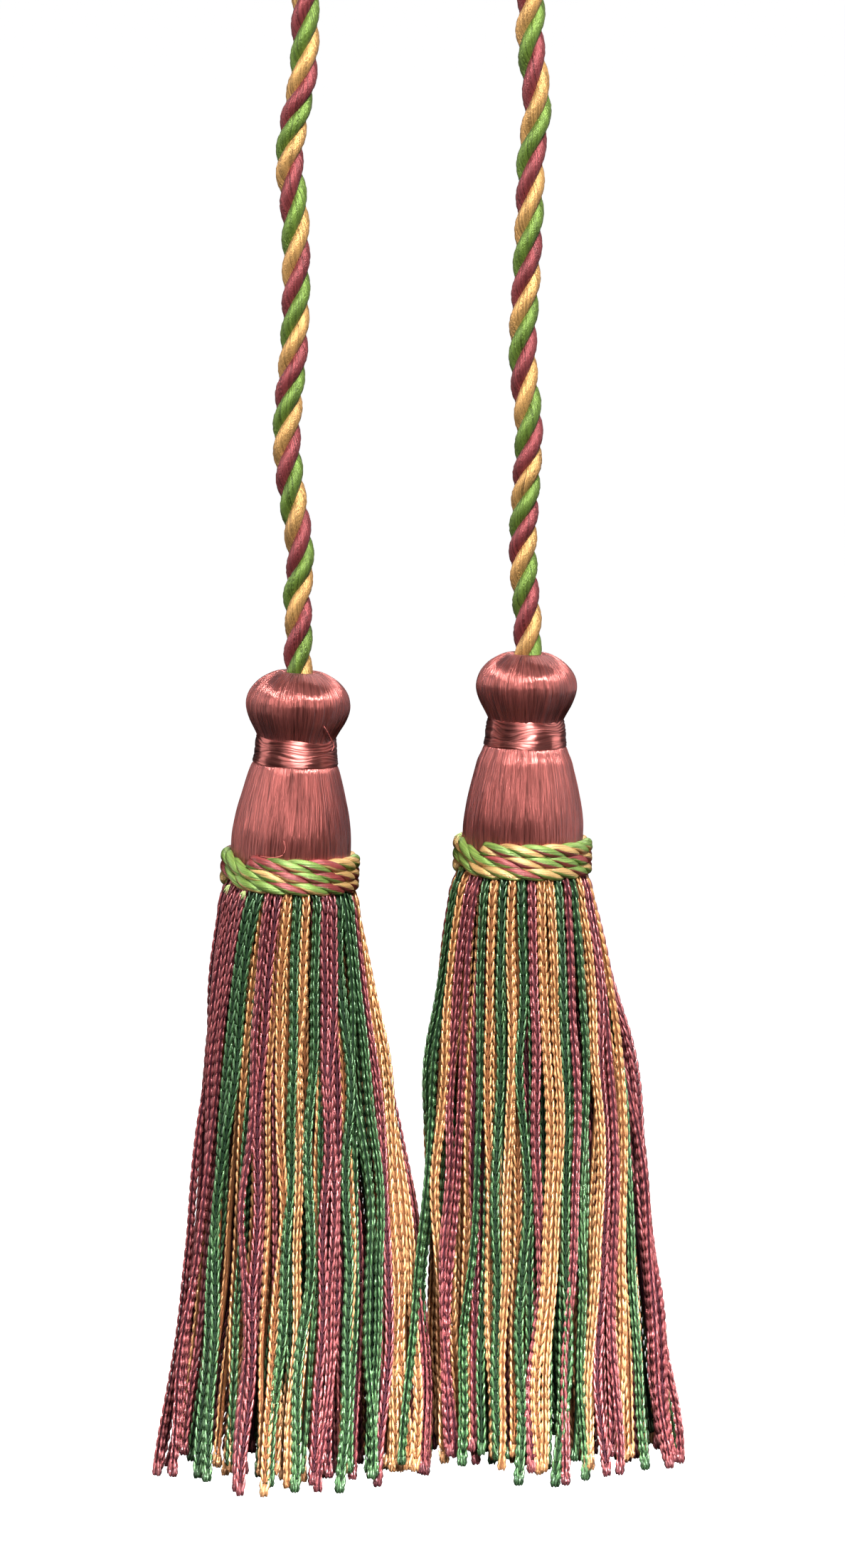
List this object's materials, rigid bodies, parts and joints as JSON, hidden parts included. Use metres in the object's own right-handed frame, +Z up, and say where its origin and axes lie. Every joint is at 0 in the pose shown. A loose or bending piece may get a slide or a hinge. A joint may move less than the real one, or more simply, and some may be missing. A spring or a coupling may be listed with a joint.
{
  "type": "double-tassel curtain tieback, hanging by its cord",
  "caption": "Twisted cord tieback with a satin-headed tassel on each end; hangs a curtain back from its middle, with loose chainette fringe in mixed colours.",
  "frame": {"origin": "underside of the cord at the top of its arch, where a tieback hook carries it", "axes": "+Z up, along the hanging length; +X to the right, across both tassels; +Y away from the viewer"},
  "size_m": [0.0889, 0.0481, 0.2756],
  "materials": {
    "cord": "satin three-ply twisted cord in rose, green and gold",
    "head_thread": "rose satin thread laid lengthwise",
    "band_thread": "rose satin thread wound round",
    "collar_cord": "satin three-ply cord in lime, gold and rose",
    "fringe": "shiny chainette yarn in rose, green and gold"
  },
  "bodies": {
    "root": {"cord": "cord", "head_left": "head_thread", "head_right": "head_thread", "neck_band_left": "band_thread", "neck_band_right": "band_thread", "collar_left": "collar_cord", "collar_right": "collar_cord", "fringe_left": "fringe", "fringe_right": "fringe"}
  },
  "joints": []
}
